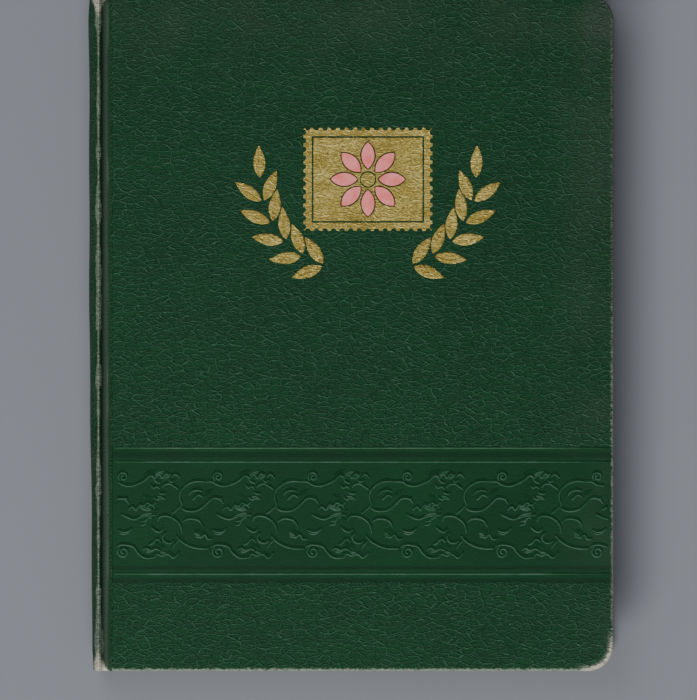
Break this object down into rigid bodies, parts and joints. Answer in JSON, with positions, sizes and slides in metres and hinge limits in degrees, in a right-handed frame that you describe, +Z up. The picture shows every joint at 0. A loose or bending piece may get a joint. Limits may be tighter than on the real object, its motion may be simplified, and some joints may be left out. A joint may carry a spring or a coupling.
{
  "type": "stamp album",
  "caption": "Small case-bound stamp stock album in green crinkle leatherette with a pressed scroll band, foil emblem and card leaves with clear pocket strips.",
  "frame": {"origin": "under the middle of the closed album, on the surface it lies on", "axes": "+X to the fore edge, +Y to the head, +Z up through the front cover"},
  "size_m": [0.1626, 0.2096, 0.0179],
  "materials": {
    "green_leatherette": "crinkle grain, satin",
    "gold_foil": "rubbed metal foil",
    "pink_foil": "pigment foil",
    "grey_board": "pressed pulp board",
    "endpaper": "matte, aged",
    "leaf_card": "matte card, aged",
    "linen": "plain weave",
    "glassine": "translucent, smooth",
    "thread": "twisted thread"
  },
  "bodies": {
    "back_cover": {"back_board": "grey_board", "back_cloth": "green_leatherette", "back_pastedown": "endpaper"},
    "spine": {"spine_cloth": "green_leatherette", "spine_inlay": "leaf_card", "back_joint_cloth": "green_leatherette", "front_joint_cloth": "green_leatherette", "spine_lining": "linen", "back_hinge_lining": "linen", "front_hinge_lining": "linen", "sewing_thread": "thread"},
    "front_cover": {"front_board": "grey_board", "front_cloth": "green_leatherette", "front_pastedown": "endpaper", "foil_stamp_frame": "gold_foil", "foil_leaf_sprays": "gold_foil", "foil_rosette": "pink_foil", "foil_medallion": "gold_foil"},
    "front_flyleaf": {"front_flyleaf": "endpaper"},
    "back_flyleaf": {"back_flyleaf": "endpaper"},
    "guard_1": {"leaf_1_guard": "linen"},
    "leaf_1": {"leaf_1_card": "leaf_card", "leaf_1_front_pockets": "glassine", "leaf_1_back_pockets": "glassine", "leaf_1_interleaf": "glassine"},
    "guard_2": {"leaf_2_guard": "linen"},
    "leaf_2": {"leaf_2_card": "leaf_card", "leaf_2_front_pockets": "glassine", "leaf_2_back_pockets": "glassine", "leaf_2_interleaf": "glassine"},
    "guard_3": {"leaf_3_guard": "linen"},
    "leaf_3": {"leaf_3_card": "leaf_card", "leaf_3_front_pockets": "glassine", "leaf_3_back_pockets": "glassine", "leaf_3_interleaf": "glassine"},
    "guard_4": {"leaf_4_guard": "linen"},
    "leaf_4": {"leaf_4_card": "leaf_card", "leaf_4_front_pockets": "glassine", "leaf_4_back_pockets": "glassine", "leaf_4_interleaf": "glassine"},
    "guard_5": {"leaf_5_guard": "linen"},
    "leaf_5": {"leaf_5_card": "leaf_card", "leaf_5_front_pockets": "glassine", "leaf_5_back_pockets": "glassine", "leaf_5_interleaf": "glassine"},
    "guard_6": {"leaf_6_guard": "linen"},
    "leaf_6": {"leaf_6_card": "leaf_card", "leaf_6_front_pockets": "glassine", "leaf_6_back_pockets": "glassine", "leaf_6_interleaf": "glassine"},
    "guard_7": {"leaf_7_guard": "linen"},
    "leaf_7": {"leaf_7_card": "leaf_card", "leaf_7_front_pockets": "glassine", "leaf_7_back_pockets": "glassine", "leaf_7_interleaf": "glassine"},
    "guard_8": {"leaf_8_guard": "linen"},
    "leaf_8": {"leaf_8_card": "leaf_card", "leaf_8_front_pockets": "glassine", "leaf_8_back_pockets": "glassine", "leaf_8_interleaf": "glassine"}
  },
  "joints": [
    {"name": "album_opening", "type": "hinge", "parent": "back_cover", "child": "spine", "pos_m": [-0.07625, 0, 0.0013], "axis": [0, -1, 0], "range_deg": [0, 90]},
    {"name": "front_joint", "type": "hinge", "parent": "spine", "child": "front_cover", "pos_m": [-0.07625, 0, 0.0165], "axis": [0, -1, 0], "range_deg": [0, 90]},
    {"name": "front_flyleaf_hinge", "type": "hinge", "parent": "spine", "child": "front_flyleaf", "pos_m": [-0.07365, 0, 0.01433], "axis": [0, -1, 0], "range_deg": [0, 90]},
    {"name": "back_flyleaf_hinge", "type": "hinge", "parent": "spine", "child": "back_flyleaf", "pos_m": [-0.07365, 0, 0.00347], "axis": [0, -1, 0], "range_deg": [-90, 0]},
    {"name": "guard_1_hinge", "type": "hinge", "parent": "spine", "child": "guard_1", "pos_m": [-0.07365, 0, 0.01345], "axis": [0, -1, 0], "range_deg": [0, 72.5]},
    {"name": "leaf_1_hinge", "type": "hinge", "parent": "guard_1", "child": "leaf_1", "pos_m": [-0.06365, 0, 0.01345], "axis": [0, -1, 0], "range_deg": [0, 18.2]},
    {"name": "guard_2_hinge", "type": "hinge", "parent": "spine", "child": "guard_2", "pos_m": [-0.07365, 0, 0.01215], "axis": [0, -1, 0], "range_deg": [0, 63.3]},
    {"name": "leaf_2_hinge", "type": "hinge", "parent": "guard_2", "child": "leaf_2", "pos_m": [-0.06365, 0, 0.01215], "axis": [0, -1, 0], "range_deg": [0, 26.4]},
    {"name": "guard_3_hinge", "type": "hinge", "parent": "spine", "child": "guard_3", "pos_m": [-0.07365, 0, 0.01085], "axis": [0, -1, 0], "range_deg": [0, 53.1]},
    {"name": "leaf_3_hinge", "type": "hinge", "parent": "guard_3", "child": "leaf_3", "pos_m": [-0.06365, 0, 0.01085], "axis": [0, -1, 0], "range_deg": [0, 35.3]},
    {"name": "guard_4_hinge", "type": "hinge", "parent": "spine", "child": "guard_4", "pos_m": [-0.07365, 0, 0.00955], "axis": [0, -1, 0], "range_deg": [0, 41.4]},
    {"name": "leaf_4_hinge", "type": "hinge", "parent": "guard_4", "child": "leaf_4", "pos_m": [-0.06365, 0, 0.00955], "axis": [0, -1, 0], "range_deg": [0, 45.4]},
    {"name": "guard_5_hinge", "type": "hinge", "parent": "spine", "child": "guard_5", "pos_m": [-0.07365, 0, 0.00825], "axis": [0, -1, 0], "range_deg": [-41.4, 0]},
    {"name": "leaf_5_hinge", "type": "hinge", "parent": "guard_5", "child": "leaf_5", "pos_m": [-0.06365, 0, 0.00825], "axis": [0, -1, 0], "range_deg": [-45.4, 0]},
    {"name": "guard_6_hinge", "type": "hinge", "parent": "spine", "child": "guard_6", "pos_m": [-0.07365, 0, 0.00695], "axis": [0, -1, 0], "range_deg": [-53.1, 0]},
    {"name": "leaf_6_hinge", "type": "hinge", "parent": "guard_6", "child": "leaf_6", "pos_m": [-0.06365, 0, 0.00695], "axis": [0, -1, 0], "range_deg": [-35.3, 0]},
    {"name": "guard_7_hinge", "type": "hinge", "parent": "spine", "child": "guard_7", "pos_m": [-0.07365, 0, 0.00565], "axis": [0, -1, 0], "range_deg": [-63.3, 0]},
    {"name": "leaf_7_hinge", "type": "hinge", "parent": "guard_7", "child": "leaf_7", "pos_m": [-0.06365, 0, 0.00565], "axis": [0, -1, 0], "range_deg": [-26.4, 0]},
    {"name": "guard_8_hinge", "type": "hinge", "parent": "spine", "child": "guard_8", "pos_m": [-0.07365, 0, 0.00435], "axis": [0, -1, 0], "range_deg": [-72.5, 0]},
    {"name": "leaf_8_hinge", "type": "hinge", "parent": "guard_8", "child": "leaf_8", "pos_m": [-0.06365, 0, 0.00435], "axis": [0, -1, 0], "range_deg": [-18.2, 0]}
  ],
  "couplings": [
    {"joint": "front_joint", "follows": "album_opening", "ratio": 1},
    {"joint": "front_flyleaf_hinge", "follows": "album_opening", "ratio": 1},
    {"joint": "back_flyleaf_hinge", "follows": "album_opening", "ratio": -1},
    {"joint": "guard_1_hinge", "follows": "album_opening", "ratio": 0.80556},
    {"joint": "leaf_1_hinge", "follows": "album_opening", "ratio": 0.20222},
    {"joint": "guard_2_hinge", "follows": "album_opening", "ratio": 0.70333},
    {"joint": "leaf_2_hinge", "follows": "album_opening", "ratio": 0.29333},
    {"joint": "guard_3_hinge", "follows": "album_opening", "ratio": 0.59},
    {"joint": "leaf_3_hinge", "follows": "album_opening", "ratio": 0.39222},
    {"joint": "guard_4_hinge", "follows": "album_opening", "ratio": 0.46},
    {"joint": "leaf_4_hinge", "follows": "album_opening", "ratio": 0.50444},
    {"joint": "guard_5_hinge", "follows": "album_opening", "ratio": -0.46},
    {"joint": "leaf_5_hinge", "follows": "album_opening", "ratio": -0.50444},
    {"joint": "guard_6_hinge", "follows": "album_opening", "ratio": -0.59},
    {"joint": "leaf_6_hinge", "follows": "album_opening", "ratio": -0.39222},
    {"joint": "guard_7_hinge", "follows": "album_opening", "ratio": -0.70333},
    {"joint": "leaf_7_hinge", "follows": "album_opening", "ratio": -0.29333},
    {"joint": "guard_8_hinge", "follows": "album_opening", "ratio": -0.80556},
    {"joint": "leaf_8_hinge", "follows": "album_opening", "ratio": -0.20222}
  ]
}
